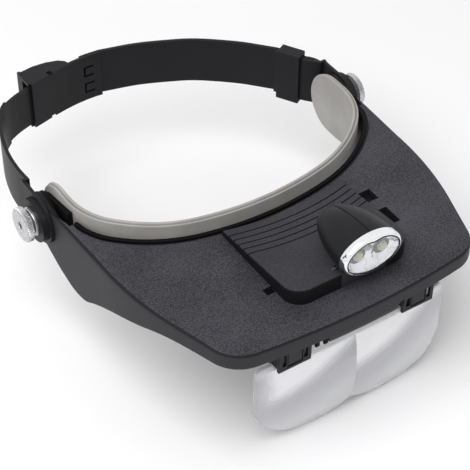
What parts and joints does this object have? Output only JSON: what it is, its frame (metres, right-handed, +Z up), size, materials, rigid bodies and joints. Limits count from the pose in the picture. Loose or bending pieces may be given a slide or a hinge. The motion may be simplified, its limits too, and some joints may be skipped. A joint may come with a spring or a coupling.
{
  "type": "lighted headband magnifier",
  "caption": "Headband magnifier with a tilting visor, grey brow pad, buckled rear strap, side thumb screws, clip-in lamp unit and a pull-out clear lens plate.",
  "frame": {"origin": "midpoint of the temple pivot axis, between the two thumb screws", "axes": "+Z up with the visor level, +X to the wearer's left along the pivot axis, -Y to the front of the visor"},
  "size_m": [0.1976, 0.2328, 0.1002],
  "materials": {
    "visor": "fine spark-eroded matt",
    "strap": "smooth satin",
    "bracket": "satin",
    "pad": "matt soft-touch",
    "nickel": "turned, bright",
    "screw_head": "knurled, bright",
    "nut": "plain",
    "lamp_shell": "satin gloss",
    "lamp_base": "satin gloss",
    "bezel": "mirror chrome",
    "lamp_lens": "clear",
    "lens": "clear acrylic",
    "holder": "satin gloss",
    "cell": "plain wrap",
    "contact": "plain",
    "board": "lacquered",
    "lamp_board": "white lacquer",
    "led": "clear domed"
  },
  "bodies": {
    "brow_band": {"brow_pad": "pad", "left_bracket": "bracket", "right_bracket": "bracket", "left_nut": "nut", "right_nut": "nut"},
    "headband": {"left_arm": "strap", "right_arm": "strap", "rear_strap": "strap", "keeper_loop": "strap", "buckle_case": "strap", "lever_pin": "nickel", "left_washer": "screw_head", "right_washer": "screw_head"},
    "buckle_lever": {"release_lever": "strap"},
    "left_screw": {"left_thumb_screw": "screw_head"},
    "right_screw": {"right_thumb_screw": "screw_head"},
    "visor": {"visor_shell": "visor", "left_holder": "holder", "right_holder": "holder", "holder_screws": "nickel", "lamp_case": "visor", "battery_tub": "lamp_base", "rear_cell": "cell", "front_cell": "cell", "contact_plates": "contact", "contact_springs": "contact", "driver_board": "board", "lamp_pin": "nickel"},
    "cover": {"battery_cover": "lamp_base"},
    "switch": {"switch_slider": "lamp_base"},
    "lamp_head": {"lamp_neck": "lamp_base", "lamp_shell_left": "lamp_shell", "lamp_shell_right": "lamp_shell", "lamp_bezel": "bezel", "lamp_lens": "lamp_lens", "lamp_board": "lamp_board", "led_left": "led", "led_right": "led"},
    "lens": {"lens_plate": "lens"}
  },
  "joints": [
    {"name": "visor_tilt", "type": "hinge", "parent": "brow_band", "child": "visor", "pos_m": [0, 0, 0], "axis": [-1, 0, 0], "range_deg": [-15, 60]},
    {"name": "headband_swivel", "type": "hinge", "parent": "brow_band", "child": "headband", "pos_m": [0, 0, 0], "axis": [1, 0, 0], "range_deg": [-12, 12]},
    {"name": "left_screw_turn", "type": "hinge", "parent": "brow_band", "child": "left_screw", "pos_m": [-0.095, 0, 0], "axis": [-1, 0, 0], "range_deg": [0, 360]},
    {"name": "right_screw_turn", "type": "hinge", "parent": "brow_band", "child": "right_screw", "pos_m": [0.095, 0, 0], "axis": [1, 0, 0], "range_deg": [0, 360]},
    {"name": "lever_press", "type": "hinge", "parent": "headband", "child": "buckle_lever", "pos_m": [-0.031, 0.0866, 0], "axis": [0, 0, -1], "range_deg": [0, 12], "stiffness_Nm_per_rad": 0.08},
    {"name": "lamp_tilt", "type": "hinge", "parent": "visor", "child": "lamp_head", "pos_m": [0.01, -0.1235, 0.0158], "axis": [1, 0, 0], "range_deg": [-8, 40]},
    {"name": "switch_slide", "type": "slide", "parent": "visor", "child": "switch", "axis": [0, -1, 0], "range_m": [0, 0.003]},
    {"name": "cover_slide", "type": "slide", "parent": "visor", "child": "cover", "axis": [1, 0, 0], "range_m": [0, 0.02]},
    {"name": "lens_pull", "type": "slide", "parent": "visor", "child": "lens", "axis": [0, 0, -1], "range_m": [0, 0.012]}
  ]
}
